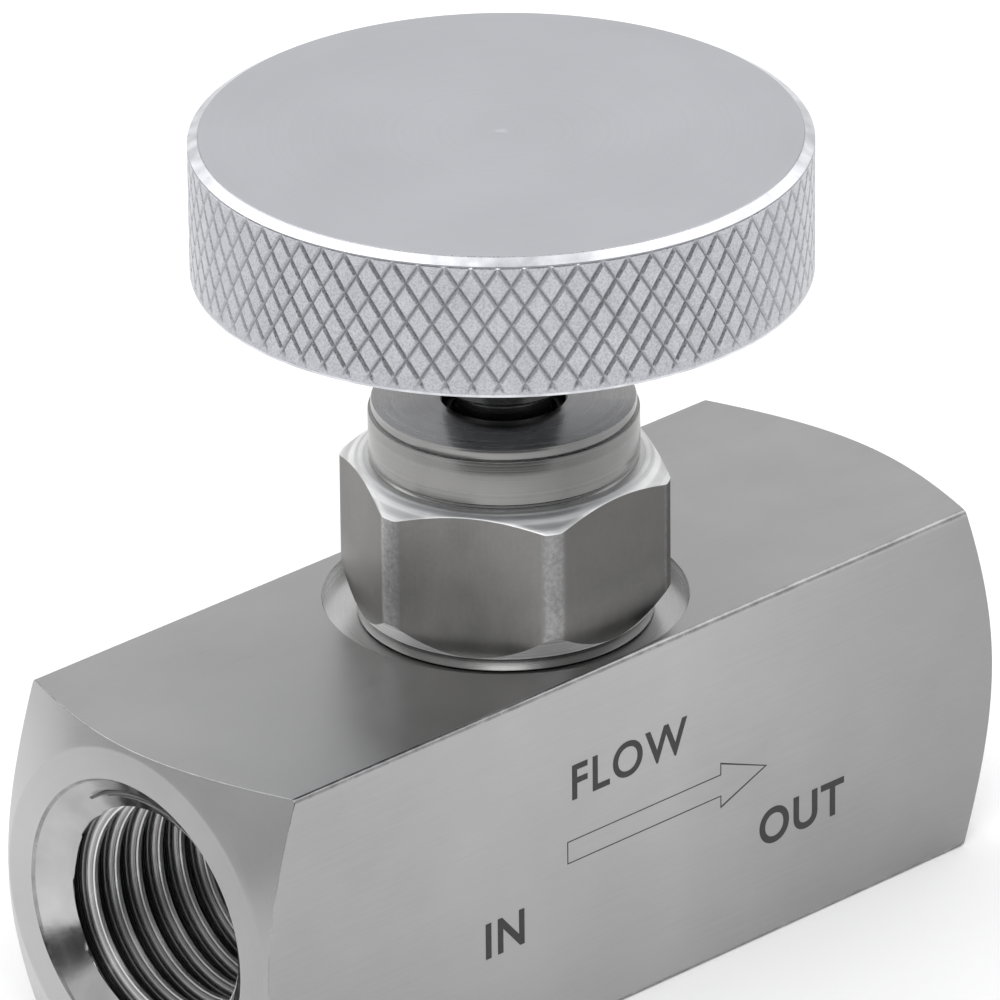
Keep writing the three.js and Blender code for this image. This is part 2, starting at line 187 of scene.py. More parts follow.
def skin(name, materials, rings, bands, splits=None):
    """Joins rings of points into one closed mesh. A ring of one point is a pole.

    bands[i] is the material slot between ring i and the next: one number, or one for each column.
    splits[i] picks, for each column of that band, which diagonal cuts its quads in two.
    """
    points = np.concatenate([np.atleast_2d(ring) for ring in rings])
    counts = [len(np.atleast_2d(ring)) for ring in rings]
    starts = np.concatenate([[0], np.cumsum(counts)])
    columns = max(counts)
    here = np.arange(columns)
    beside = (here + 1) % columns
    faces, slots = [], []
    for i in range(len(rings) - 1):
        low, high = starts[i], starts[i + 1]
        slot = np.broadcast_to(bands[i], columns)
        if counts[i] == 1:
            made = np.stack([low + 0 * here, high + beside, high + here], 1)
        elif counts[i + 1] == 1:
            made = np.stack([low + here, low + beside, high + 0 * here], 1)
        elif splits and i in splits:
            a, b, c, d = low + here, low + beside, high + beside, high + here
            rising = splits[i][:, None]
            first = np.where(rising, np.stack([a, b, c], 1), np.stack([a, b, d], 1))
            second = np.where(rising, np.stack([a, c, d], 1), np.stack([b, c, d], 1))
            made = np.concatenate([first, second])
            slot = np.concatenate([slot, slot])
        else:
            made = np.stack([low + here, low + beside, high + beside, high + here], 1)
        faces += made.tolist()
        slots.append(slot)
    mesh = bpy.data.meshes.new(name)
    mesh.from_pydata(points.tolist(), [], faces)
    for material in materials:
        mesh.materials.append(material)
    mesh.polygons.foreach_set("material_index", np.concatenate(slots).astype(np.int32))
    piece = bpy.data.objects.new(name, mesh)
    bpy.context.scene.collection.objects.link(piece)
    if enclosed_volume(mesh) < 0:
        mesh.flip_normals()
    return piece


def enclosed_volume(mesh):
    """The volume inside a closed mesh, negative when its faces point inwards."""
    mesh.calc_loop_triangles()
    corners = np.empty(len(mesh.loop_triangles) * 3, np.int32)
    mesh.loop_triangles.foreach_get("vertices", corners)
    points = np.empty(len(mesh.vertices) * 3)
    mesh.vertices.foreach_get("co", points)
    a, b, c = (points.reshape(-1, 3)[corners.reshape(-1, 3)[:, k]] for k in range(3))
    return float(np.einsum("ij,ij->i", a, np.cross(b, c)).sum()) / 6


def carve(piece, cutter):
    """Cuts one closed mesh out of another. Both have the same materials, so that slots carry over."""
    cut = piece.modifiers.new("cut", "BOOLEAN")
    cut.operation = "DIFFERENCE"
    cut.solver = "MANIFOLD"
    cut.object = cutter
    settled = piece.evaluated_get(bpy.context.evaluated_depsgraph_get())
    mesh = bpy.data.meshes.new_from_object(settled)
    piece.modifiers.clear()
    piece.data = mesh
    bpy.data.objects.remove(cutter)


def shade(piece):
    """Smooth shading, with an edge kept sharp where it bends sharply or the finish changes."""
    mesh = piece.data
    mesh.shade_smooth()
    normals = np.empty(len(mesh.polygons) * 3)
    mesh.polygons.foreach_get("normal", normals)
    slots = np.empty(len(mesh.polygons), np.int32)
    mesh.polygons.foreach_get("material_index", slots)
    totals = np.empty(len(mesh.polygons), np.int32)
    mesh.polygons.foreach_get("loop_total", totals)
    edges = np.empty(len(mesh.loops), np.int32)
    mesh.loops.foreach_get("edge_index", edges)
    owners = np.repeat(np.arange(len(totals)), totals)
    order = np.argsort(edges, kind="stable")
    pairs = owners[order].reshape(-1, 2)
    normals = normals.reshape(-1, 3)
    bend = np.einsum("ij,ij->i", normals[pairs[:, 0]], normals[pairs[:, 1]])
    sharp = (bend < math.cos(SHARP_BEND)) | (slots[pairs[:, 0]] != slots[pairs[:, 1]])
    mark = mesh.attributes.get("sharp_edge") or mesh.attributes.new("sharp_edge", "BOOLEAN", "EDGE")
    mark.data.foreach_set("value", sharp)


def finish_piece(piece, body, node):
    """Puts a new piece in the place of a CAD node."""
    shade(piece)
    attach(piece, body)
    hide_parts(node)


def around(count):
    """Evenly spaced angles once round."""
    return np.arange(count) * (2 * math.pi / count)


def upright_ring(radius, height, angles):
    """A ring about the stem's axis."""
    radius = np.broadcast_to(radius, angles.shape)
    height = np.broadcast_to(height, angles.shape)
    return np.stack([radius * np.cos(angles), radius * np.sin(angles), height], 1)


def flow_ring(radius, x, angles):
    """A ring about the ports' axis."""
    radius = np.broadcast_to(radius, angles.shape)
    x = np.broadcast_to(x, angles.shape)
    return np.stack([x, radius * np.cos(angles), PORT_HEIGHT + radius * np.sin(angles)], 1)


def thread_cut(turns):
    """The depth of a V thread, from 0 on its crest to 1 at its root, a number of turns along it."""
    from_crest = 2 * np.abs(turns - np.round(turns))
    return np.clip((from_crest - THREAD_FLAT) / (1 - 2 * THREAD_FLAT), 0, 1)


def on_thread_edge(turns, reach):
    """Moves places along a thread onto the nearest edge of its crest or root, where one is in reach."""
    half = THREAD_FLAT / 2
    edges = np.array([half, 0.5 - half, 0.5 + half, 1 - half])
    part = turns - np.floor(turns)
    nearest = edges[np.abs(part[:, None] - edges).argmin(axis=1)]
    return np.where(np.abs(nearest - part) < reach, turns + nearest - part, turns)


def lathe(name, materials, profile, count):
    """A closed solid of revolution about the stem's axis. profile lists (radius, height, slot)."""
    angles = around(count)
    rings, bands = [], []
    for radius, height, slot in profile:
        rings.append(np.array([0, 0, height]) if radius == 0 else upright_ring(radius, height, angles))
        bands.append(slot)
    if profile[0][0] > 0:
        rings.append(rings[0])
    piece = skin(name, materials, rings, bands[:len(rings) - 1])
    if profile[0][0] > 0:
        weld(piece)
    return piece


def weld(piece):
    """Joins the first and last rings of a piece that closes on itself."""
    join = piece.modifiers.new("join", "WELD")
    join.merge_threshold = WELD_GAP
    settled = piece.evaluated_get(bpy.context.evaluated_depsgraph_get())
    mesh = bpy.data.meshes.new_from_object(settled)
    piece.modifiers.clear()
    piece.data = mesh


# ---- Material tools ----

class Finish:
    """A procedural material. Its nodes work in object space, in metres."""

    def __init__(self, name, **sockets):
        self.material = bpy.data.materials.new(name)
        self.material.use_nodes = True
        self.tree = self.material.node_tree
        self.shader = self.tree.nodes["Principled BSDF"]
        for socket, value in sockets.items():
            self.shader.inputs[socket.replace("_", " ")].default_value = value
        self.place = self.add("ShaderNodeTexCoord").outputs["Object"]

    def add(self, kind, values=None, **settings):
        """Adds a node, with each of its sockets either linked to another or set to a constant."""
        node = self.tree.nodes.new(kind)
        for key, value in settings.items():
            setattr(node, key, value)
        for socket, value in (values or {}).items():
            if isinstance(value, bpy.types.NodeSocket):
                self.tree.links.new(value, node.inputs[socket])
            else:
                node.inputs[socket].default_value = value
        return node

    def math(self, operation, a, b=0.0):
        return self.add("ShaderNodeMath", {0: a, 1: b}, operation=operation).outputs[0]

    def noise(self, scale, stretch=(1, 1, 1), detail=3.0, rough=0.5):
        """Cloudy noise. scale is its number of blobs to a metre, and stretch slows it along an axis."""
        steps = tuple(1 / s for s in stretch)
        place = self.add("ShaderNodeMapping", {"Vector": self.place, "Scale": steps})
        values = {"Vector": place.outputs[0], "Scale": scale, "Detail": detail, "Roughness": rough}
        return self.add("ShaderNodeTexNoise", values).outputs["Fac"]

    def parts(self, centre=(0, 0, 0)):
        """The place's x, y and z, measured from centre."""
        offset = self.add("ShaderNodeVectorMath", {0: self.place, 1: centre}, operation="SUBTRACT")
        return self.add("ShaderNodeSeparateXYZ", {0: offset.outputs[0]}).outputs

    def from_axis(self, axis, centre=(0, 0, 0)):
        """The distance from an axis, and the way along it."""
        split = self.parts(centre)
        flat = [split[k] for k in "XYZ" if k != axis]
        squares = [self.math("MULTIPLY", s, s) for s in flat]
        return self.math("SQRT", self.math("ADD", *squares)), split[axis]

    def thread_marks(self, lines):
        """Noise that changes only across a pipe thread, and is the same on every turn of it."""
        x, y, z = self.parts(PORT_AXIS)
        turned = self.math("DIVIDE", self.math("ARCTAN2", z, y), 2 * math.pi)
        turns = self.math("SUBTRACT", self.math("DIVIDE", x, PIPE_PITCH), turned)
        part = self.math("FRACT", self.math("ADD", turns, THREAD_START))
        values = {"W": part, "Scale": lines, "Detail": 3.0, "Roughness": 0.6}
        return self.add("ShaderNodeTexNoise", values, noise_dimensions="1D").outputs["Fac"]

    def lathe_marks(self, scale, axis, centre=(0, 0, 0), detail=4.0):
        """Noise that changes only with the radius from an axis and the way along it, as a tool leaves it.

        The way along counts a little less, so that a chamfer at 45 degrees isn't left without rings.
        """
        radius, along = self.from_axis(axis, centre)
        way = self.math("ADD", radius, self.math("MULTIPLY", along, LATHE_RISE))
        values = {"W": way, "Scale": scale, "Detail": detail, "Roughness": 0.6}
        return self.add("ShaderNodeTexNoise", values, noise_dimensions="1D").outputs["Fac"]

    def spread(self, value, low, high, start=0.3, stop=0.7):
        """Takes a noise value from start..stop to low..high."""
        values = {"Value": value, "From Min": start, "From Max": stop, "To Min": low, "To Max": high}
        return self.add("ShaderNodeMapRange", values).outputs[0]

    def colour(self, value, *stops):
        """Turns a value from 0 to 1 into a colour, through (value, colour) stops."""
        ramp = self.add("ShaderNodeValToRGB", {0: value})
        elements = ramp.color_ramp.elements
        while len(elements) < len(stops):
            elements.new(0.5)
        for element, (position, colour) in zip(elements, stops):
            element.position = position
            element.color = (*colour, 1)
        return ramp.outputs[0]

    def tone(self, value, start, stop, *stops):
        """A grey that depends on where a value lies from start to stop, as (share of the way, grey)."""
        share = self.spread(value, 0.0, 1.0, start, stop)
        return self.colour(share, *((position, grey(level)) for position, level in stops))

    def mix(self, factor, first, second, mode="MIX"):
        """Blends two colours, each given as a socket or a constant."""
        node = self.tree.nodes.new("ShaderNodeMix")
        node.data_type = "RGBA"
        node.blend_type = mode
        for index, value in ((0, factor), (6, first), (7, second)):
            if isinstance(value, bpy.types.NodeSocket):
                self.tree.links.new(value, node.inputs[index])
            else:
                node.inputs[index].default_value = value
        return node.outputs[2]

    def times(self, first, *others):
        """Multiplies colours."""
        for other in others:
            first = self.mix(1.0, first, other, "MULTIPLY")
        return first

    def bump(self, *heights):
        """Stacks bumps, each given as (value, height in metres)."""
        normal = None
        for value, height in heights:
            values = {"Height": value, "Distance": height, "Strength": 1.0}
            if normal:
                values["Normal"] = normal
            normal = self.add("ShaderNodeBump", values).outputs[0]
        self.tree.links.new(normal, self.shader.inputs["Normal"])

    def set(self, socket, value):
        self.tree.links.new(value, self.shader.inputs[socket])


def grey(value, warmth=0.0):
    """A near-neutral colour, a little towards red and away from blue when warmth is positive."""
    return (value * (1 + warmth), value, value * (1 - warmth))


# ---- Materials ----

def ground_bar():
    """The bar's long faces: fine grinding along the bar, with faint clouds, and painted shade that darkens
    the sides towards +X.
    """
    f = Finish("ground_bar_steel", Metallic=1.0)
    clouds = f.noise(160, detail=4)
    grain = f.noise(9000, stretch=(40, 1, 1), detail=3)
    base = f.colour(clouds, (0.3, grey(0.395)), (0.7, grey(0.43)))
    lines = f.colour(grain, (0.2, grey(0.93)), (0.8, grey(1.0)))
    x, _, z = f.parts()
    # Painted shade: the sides get darker towards +X.
    painted_shade_along_x = f.tone(x, -END, END,
                   (0.04, 0.93), (0.25, 1.0), (0.55, 1.0), (0.72, 0.86), (0.87, 0.77), (0.97, 0.72))
    # Near and on the top face the painted shade gives way to an even 0.97.
    edge_start, edge_stop = BAR - 0.0004, BAR - 0.0001
    on_top = f.spread(z, 0.0, 1.0, edge_start, edge_stop)
    tone = f.mix(on_top, painted_shade_along_x, (*grey(0.97), 1))
    f.set("Base Color", f.times(base, lines, tone))
    f.set("Roughness", f.math("ADD", f.spread(grain, -0.03, 0.03), f.spread(clouds, 0.3, 0.36)))
    f.bump((grain, 0.0000012), (f.noise(2500), 0.000002))
    return f.material


def turned_end():
    """The turned end faces and cones, with rings round the port, and painted shade: darker towards -Y and
    the top, lighter towards +Y and the bottom.
    """
    f = Finish("turned_end_steel", Metallic=1.0)
    rings = f.lathe_marks(5200, "X", PORT_AXIS)
    clouds = f.noise(220)
    base = f.colour(clouds, (0.3, grey(0.395)), (0.7, grey(0.435)))
    lines = f.colour(rings, (0.25, grey(0.97)), (0.75, grey(1.0)))
    # Painted shade and light: the ends get darker towards -Y and the top, lighter towards +Y and the
    # bottom.
    _, y, z = f.parts()
    way = f.math("SUBTRACT", f.math("MULTIPLY", y, 0.8), z)
    start, stop = -0.022, -0.006
    tone = f.tone(way, start, stop, (0.0, 0.78), (1.0, 1.08))
    f.set("Base Color", f.times(base, lines, tone))
    f.set("Roughness", f.spread(clouds, 0.27, 0.33))
    f.bump((rings, 0.0000014))
    return f.material


def cut_thread():
    """Threads and bores: bright crests and roots that darken towards their depth, with the tap's drag
    lines along every turn.
    """
    f = Finish("cut_thread_steel", Metallic=1.0)
    drag = f.thread_marks(19)
    stains = f.noise(420, detail=5)
    base = f.colour(stains, (0.3, grey(0.76)), (0.62, grey(0.9)))
    lines = f.colour(drag, (0.42, grey(0.42)), (0.54, grey(1.0)))
    radius = f.from_axis("X", PORT_AXIS)[0]
    crest, root = 0.0056, 0.0067
    root_darkening = f.tone(radius, crest, root, (0.1, 0.95), (0.75, 0.16))
    f.set("Base Color", f.times(base, lines, root_darkening))
    f.set("Roughness", f.spread(drag, 0.26, 0.4))
    f.bump((drag, 0.00003))
    return f.material


def countersink():
    """The cone at a port's mouth, with faint chatter from its cutter."""
    f = Finish("countersink_steel", Metallic=1.0)
    rings = f.lathe_marks(2400, "X", PORT_AXIS, detail=2)
    stains = f.noise(500, detail=4)
    f.set("Base Color", f.colour(stains, (0.3, grey(0.38)), (0.7, grey(0.48))))
    f.set("Roughness", f.spread(rings, 0.14, 0.2))
    f.bump((rings, 0.000003), (f.noise(700, detail=3), 0.000012))
    return f.material


def spotface():
    """The bonnet's milled spotface, with painted light: a brighter base than the ground bar's, lighter
    towards -X and darker towards +X.
    """
    f = Finish("spotface_steel", Metallic=1.0)
    rings = f.lathe_marks(3000, "Z", detail=2)
    # Painted light: the base is brighter than the ground bar's.
    base = f.colour(f.noise(300), (0.3, grey(0.5)), (0.7, grey(0.56)))
    # Painted light and shade: lighter towards -X, darker towards +X.
    x = f.parts()[0]
    wear_and_painted_shade = f.tone(x, -SPOTFACE_RADIUS, SPOTFACE_RADIUS, (0.1, 1.1), (0.9, 0.84))
    f.set("Base Color", f.times(base, wear_and_painted_shade))
    f.set("Roughness", f.spread(rings, 0.26, 0.34))
    f.bump((rings, 0.000003))
    return f.material


def broken_edge():
    """The narrow polished breaks along machined edges."""
    f = Finish("broken_edge_steel", Metallic=1.0)
    nicks = f.noise(1200, detail=5, rough=0.6)
    # The dark base is painted shade that dims the highlight lines along the edges.
    f.set("Base Color", f.colour(nicks, (0.3, grey(0.22)), (0.65, grey(0.36))))
    f.set("Roughness", f.spread(nicks, 0.16, 0.3))
    f.bump((nicks, 0.000006))
    return f.material


def bonnet_hex():
    """The hexagon: drawn flats, dark and a little brown, and roughly turned corners; painted shade darkens
    it towards +X and -Y, and painted light brightens the faces' lower part.
    """
    f = Finish("bonnet_hex_steel", Metallic=1.0, Specular_Tint=(*grey(0.5), 1))
    stains = f.noise(330, stretch=(1, 1, 1.4), detail=5, rough=0.6)
    draw = f.noise(6000, stretch=(1, 1, 10))
    specks = f.noise(4200, detail=3, rough=0.6)
    base = f.colour(stains, (0.3, grey(0.29, 0.01)), (0.5, grey(0.33, 0.02)), (0.7, grey(0.36, 0.01)))
    lines = f.colour(f.math("MULTIPLY", draw, specks), (0.12, grey(0.93)), (0.34, grey(1.0)))
    drawn = f.times(base, lines)
    radius = f.from_axis("Z")[0]
    rough_turning = f.colour(specks, (0.35, grey(0.36)), (0.65, grey(0.5)))
    corner_start, corner_stop = HEX_CORNER_RADIUS - 0.00012, HEX_CORNER_RADIUS - 0.00002
    at_corner = f.spread(radius, 0.0, 1.0, corner_start, corner_stop)
    turned = f.mix(at_corner, drawn, rough_turning)
    # Painted shade: the faces get darker towards +X and -Y.
    x, y, z = f.parts()
    across = f.math("SUBTRACT", x, y)
    reach = 0.0117
    painted_shade_across = f.tone(across, -reach, reach,
                     (0.14, 0.93), (0.18, 0.76), (0.6, 0.76), (0.7, 0.42), (1.0, 0.38))
    # Painted light: the faces' lower part is brighter.
    foot_low, foot_high = 0.0201, 0.0224
    painted_light_at_foot = f.tone(z, foot_low, foot_high, (0.0, 1.3), (1.0, 1.0))
    f.set("Base Color", f.times(turned, f.times(painted_shade_across, painted_light_at_foot)))
    f.set("Roughness", f.math("ADD", f.spread(draw, -0.03, 0.03), f.spread(stains, 0.34, 0.44)))
    f.bump((draw, 0.000001), (f.noise(900, detail=4), 0.000006))
    return f.material


def bonnet_turned():
    """The neck, chamfers and shank of the bonnet, with fine lathe rings, painted shade across the neck's
    middle in x, and painted light on its top.
    """
    f = Finish("bonnet_turned_steel", Metallic=1.0)
    rings = f.lathe_marks(3600, "Z", detail=2)
    stains = f.noise(300, detail=4)
    base = f.colour(stains, (0.3, grey(0.3, 0.01)), (0.7, grey(0.36, 0.008)))
    lines = f.colour(rings, (0.25, grey(0.82)), (0.75, grey(1.0)))
    x, _, z = f.parts()
    # Painted shade: darker across the middle in x, darkest a little towards -X.
    painted_shade_across = f.tone(x, -NECK_RADIUS, NECK_RADIUS, (0.05, 0.87), (0.35, 0.57), (0.9, 0.8))
    # Painted light: the top face and rim are brighter.
    top = f.tone(z, NECK_TOP - 0.0002, NECK_TOP, (0.0, 1.0), (1.0, 1.45))
    f.set("Base Color", f.times(f.times(base, lines), f.times(painted_shade_across, top)))
    f.set("Roughness", f.spread(rings, 0.17, 0.28))
    f.bump((rings, 0.000005))
    return f.material


def bonnet_chamfer():
    """The bonnet's chamfers, with coarse rings; their very bright base is a painted highlight."""
    f = Finish("bonnet_chamfer_steel", Metallic=1.0)
    rings = f.lathe_marks(4500, "Z", detail=2)
    # Painted highlight: a base far brighter than the other steel.
    base = f.colour(f.noise(400, detail=3), (0.3, grey(0.75)), (0.7, grey(0.92)))
    lines = f.colour(rings, (0.35, grey(0.7)), (0.6, grey(1.0)))
    f.set("Base Color", f.times(base, lines))
    f.set("Roughness", f.spread(rings, 0.42, 0.55))
    f.bump((rings, 0.00002))
    return f.material


def ground_stem():
    """The stem, needle and ball: fine ground rings."""
    f = Finish("ground_stem_steel", Metallic=1.0)
    rings = f.lathe_marks(8000, "Z")
    f.set("Base Color", f.colour(f.noise(300), (0.3, grey(0.34)), (0.7, grey(0.4))))
    f.set("Roughness", f.spread(rings, 0.2, 0.3))
    f.bump((rings, 0.000002))
    return f.material


def knob_face():
    """The knob's turned and lightly blasted faces."""
    f = Finish("satin_aluminium", Metallic=1.0)
    rings = f.lathe_marks(3600, "Z")
    clouds = f.noise(130, detail=5, rough=0.55)
    grain = f.noise(6500, detail=2)
    base = f.colour(clouds, (0.3, (0.505, 0.515, 0.545)), (0.7, (0.525, 0.535, 0.565)))
    lines = f.colour(rings, (0.25, grey(0.97)), (0.75, grey(1.0)))
    f.set("Base Color", f.times(base, lines))
    f.set("Roughness", f.spread(clouds, 0.32, 0.38))
    f.bump((rings, 0.0000005), (grain, 0.0000025))
    return f.material


def knob_rim():
    """The bright turned chamfer round the knob's top, slightly rolled by the knurling."""
    f = Finish("bright_aluminium", Metallic=1.0)
    rolls = f.noise(900, detail=4)
    f.set("Base Color", f.colour(rolls, (0.3, (0.52, 0.53, 0.56)), (0.7, (0.76, 0.77, 0.8))))
    f.set("Roughness", f.spread(rolls, 0.28, 0.4))
    f.bump((rolls, 0.000012), (f.noise(4000), 0.000003))
    return f.material


def knurled_rim():
    """The knurl: grainy pads, darker where the groove attribute marks the grooves."""
    f = Finish("knurled_aluminium", Metallic=1.0)
    grain = f.noise(9500, detail=2, rough=0.6)
    clouds = f.noise(700, detail=3)
    pads = f.colour(clouds, (0.3, (0.465, 0.475, 0.505)), (0.7, (0.525, 0.535, 0.565)))
    base = f.times(pads, f.colour(grain, (0.36, grey(0.72)), (0.6, grey(1.0))))
    depth = f.add("ShaderNodeAttribute", attribute_name="groove").outputs["Fac"]
    f.set("Base Color", f.mix(f.spread(depth, 0.0, 0.8, 0.1, 1.0), base, (0.3, 0.305, 0.32, 1)))
    f.set("Roughness", f.spread(grain, 0.26, 0.4))
    f.bump((grain, 0.000012))
    return f.material


def knob_hub():
    """The hub's fine turned side; its very dark base is painted shade under the knob."""
    f = Finish("turned_aluminium", Metallic=1.0)
    rings = f.lathe_marks(6000, "Z")
    # Painted shade: a near-black base for the hub under the knob.
    f.set("Base Color", f.colour(f.noise(500), (0.3, (0.16, 0.163, 0.17)), (0.7, (0.2, 0.203, 0.21))))
    f.set("Roughness", f.spread(rings, 0.1, 0.18))
    f.bump((rings, 0.000003))
    return f.material


def black_oxide():
    """Blackened steel, with a little wear."""
    f = Finish("black_oxide_steel", Metallic=1.0)
    wear_and_painted_shade = f.noise(1500, detail=4)
    f.set("Base Color", f.colour(wear_and_painted_shade, (0.35, grey(0.03)), (0.75, grey(0.11))))
    f.set("Roughness", f.spread(wear_and_painted_shade, 0.3, 0.5))
    f.bump((wear_and_painted_shade, 0.000006))
    return f.material


def soft_copper():
    """Annealed copper, unevenly dulled."""
    f = Finish("soft_copper", Metallic=1.0)
    dull = f.noise(600, detail=4)
    f.set("Base Color", f.colour(dull, (0.3, (0.42, 0.19, 0.11)), (0.7, (0.68, 0.34, 0.22))))
    f.set("Roughness", f.spread(dull, 0.3, 0.46))
    f.bump((dull, 0.000004))
    return f.material


def black_rubber():
    """Seal rubber with a little dust."""
    f = Finish("black_rubber")
    dust = f.noise(2500, detail=4)
    f.set("Base Color", f.colour(dust, (0.35, grey(0.012)), (0.8, grey(0.035))))
    f.set("Roughness", f.spread(dust, 0.5, 0.72))
    f.bump((dust, 0.00001))
    return f.material


def moulded_plastic(name, low, high):
    """Plain plastic between two colours."""
    f = Finish(name)
    flow = f.noise(500, detail=3)
    f.set("Base Color", f.colour(flow, (0.3, low), (0.7, high)))
    f.set("Roughness", f.spread(flow, 0.34, 0.46))
    f.bump((f.noise(3000), 0.000004))
    return f.material


def etched_mark():
    """The dark oxide that a marking laser leaves."""
    f = Finish("etched_mark", Metallic=0.0)
    burn = f.noise(5000, detail=3)
    f.set("Base Color", f.colour(burn, (0.3, grey(0.008)), (0.8, grey(0.035))))
    f.set("Roughness", f.spread(burn, 0.45, 0.65))
    f.bump((burn, 0.000004))
    return f.material


# ---- Valve body ----

BAR_FACE, TURNED, THREAD, EDGE, SPOT, SINK = range(6)


def bar_outline():
    """Angles, radii and slots of the bar's section: a square with small round corners."""
    half = BAR / 2
    flat, corner = half - BAR_CORNER, 5
    sweep = np.linspace(0, math.pi / 2, corner + 1)
    points, slots = [], []
    for quarter in range(4):
        turn = quarter * math.pi / 2
        side = np.linspace(-flat, flat, 67)[1:-1]
        arc = [(flat + BAR_CORNER * math.cos(a), flat + BAR_CORNER * math.sin(a)) for a in sweep]
        strip = [(half, y) for y in side] + arc
        points += [(x * math.cos(turn) - y * math.sin(turn), x * math.sin(turn) + y * math.cos(turn))
                   for x, y in strip]
        slots += [BAR_FACE] * len(side) + [EDGE] * corner + [BAR_FACE]
    points = np.array(points)
    angles = np.arctan2(points[:, 1], points[:, 0])
    return angles, np.hypot(points[:, 0], points[:, 1]), np.array(slots)


def port_ring(depth, side, angles):
    """A ring of a port's wall, and its slots: tapered thread, opened out by the countersink."""
    turns = side * (END - depth) / PIPE_PITCH - angles / (2 * math.pi) + THREAD_START
    turns = on_thread_edge(turns, 0.49 * THREAD_STEP / PIPE_PITCH)
    depth = END - side * (turns - THREAD_START + angles / (2 * math.pi)) * PIPE_PITCH
    depth = np.clip(depth, BREAK * 1.5, PORT_DEPTH)
    minor = PIPE_MINOR_RADIUS - depth * PIPE_TAPER
    fade = 1 - np.clip((depth - FULL_THREAD) / THREAD_RUNOUT, 0, 1)
    thread = minor + thread_cut(turns) * PIPE_THREAD_HEIGHT * fade
    sink = COUNTERSINK_RADIUS - (depth - BREAK) * COUNTERSINK_SLOPE
    ring = flow_ring(np.maximum(thread, sink), side * (END - depth), angles)
    return ring, np.where(sink > thread, SINK, THREAD)


def body_end(side, angles, outline):
    """Rings and slots from the bottom of one port, out round its mouth, to the bar's long faces."""
    rings = [np.array([side * (END - PORT_DEPTH - PORT_DRILL_POINT), 0, PORT_HEIGHT])]
    bands = []

    def ring(radius, depth, slot):
        rings.append(flow_ring(radius, side * (END - depth), angles))
        bands.append(slot)

    ring(PIPE_MINOR_RADIUS - PORT_DEPTH * PIPE_TAPER, PORT_DEPTH, THREAD)
    for depth in np.arange(FULL_THREAD + THREAD_RUNOUT + THREAD_STEP, BREAK + THREAD_STEP, -THREAD_STEP):
        wall, slots = port_ring(depth, side, angles)
        rings.append(wall)
        bands.append(slots)
    ring(COUNTERSINK_RADIUS, BREAK, EDGE)
    ring(COUNTERSINK_RADIUS + BREAK, 0, EDGE)
    ring(END_FACE_RADIUS - END_BLEND, 0, TURNED)
    ring(END_FACE_RADIUS, END_BLEND * END_CONE_SLOPE / 4, TURNED)
    inner = END_FACE_RADIUS + END_BLEND
    ring(inner, END_BLEND * END_CONE_SLOPE, TURNED)
    outer = outline - BREAK
    for share in np.linspace(0, 1, 7)[1:]:
        radius = inner + (outer - inner) * share
        ring(radius, (radius - END_FACE_RADIUS) * END_CONE_SLOPE, TURNED)
    corner = (outline - END_FACE_RADIUS) * END_CONE_SLOPE
    for t in (1 / 3, 2 / 3, 1):
        radius = outline - BREAK * (1 - t) ** 2
        ring(radius, corner - BREAK * END_CONE_SLOPE * (1 - t) ** 2 + BREAK * t ** 2, EDGE)
    return rings, bands


def body_skin(materials):
    """The bar with both threaded ports, before the bonnet's socket and the drillings."""
    angles, outline, slots = bar_outline()
    rings, bands = body_end(-1, angles, outline)
    for x in np.linspace(-0.9, 0.9, 19) * END:
        rings.append(flow_ring(outline, x, angles))
        bands.append(slots)
    far_rings, far_bands = body_end(1, angles, outline)
    bands.append(slots)
    bands += far_bands[::-1]
    along_thread = np.zeros(len(angles), bool)
    splits = dict.fromkeys(range(1, len(bands) - 1), along_thread)
    return skin("valve_body_machined", materials, rings + far_rings[::-1], bands, splits)


def socket_cutter(materials):
    """The bonnet's socket, the chamber and the seat's pocket."""
    mouth = SPOTFACE_RADIUS + 2 * BREAK
    profile = [
        (0, SEAT_POCKET_FLOOR, THREAD),
        (SEAT_POCKET_RADIUS, SEAT_POCKET_FLOOR, THREAD),
        (SEAT_POCKET_RADIUS, CHAMBER_FLOOR, THREAD),
        (CHAMBER_RADIUS, CHAMBER_FLOOR, THREAD),
        (CHAMBER_RADIUS, SOCKET_FLOOR, THREAD),
        (SOCKET_RADIUS, SOCKET_FLOOR, THREAD),
        (SOCKET_RADIUS, SEAL_LEDGE, THREAD),
        (SEAL_LEDGE_RADIUS, SEAL_LEDGE, THREAD),
        (SEAL_LEDGE_RADIUS, SPOTFACE_FLOOR - BREAK, EDGE),
        (SEAL_LEDGE_RADIUS + BREAK, SPOTFACE_FLOOR, SPOT),
        (SPOTFACE_RADIUS, SPOTFACE_FLOOR, SPOT),
        (SPOTFACE_RADIUS, BAR - BREAK, EDGE),
        (mouth, BAR + BREAK, TURNED),
        (mouth, BAR + CUTTER_PAST, TURNED),
        (0, BAR + CUTTER_PAST, TURNED),
    ]
    return lathe("socket_cutter", materials, profile, 192)


def drill(materials, start, end, radius, slot):
    """A round cutter between two points."""
    start, end = Vector(start), Vector(end)
    length = (end - start).length
    profile = [(0, 0, slot), (radius, 0, slot), (radius, length, slot), (0, length, slot)]
    cutter = lathe("drill", materials, profile, 64)
    turn = Vector((0, 0, 1)).rotation_difference(end - start).to_matrix().to_4x4()
    cutter.data.transform(Matrix.Translation(start) @ turn)
    return cutter


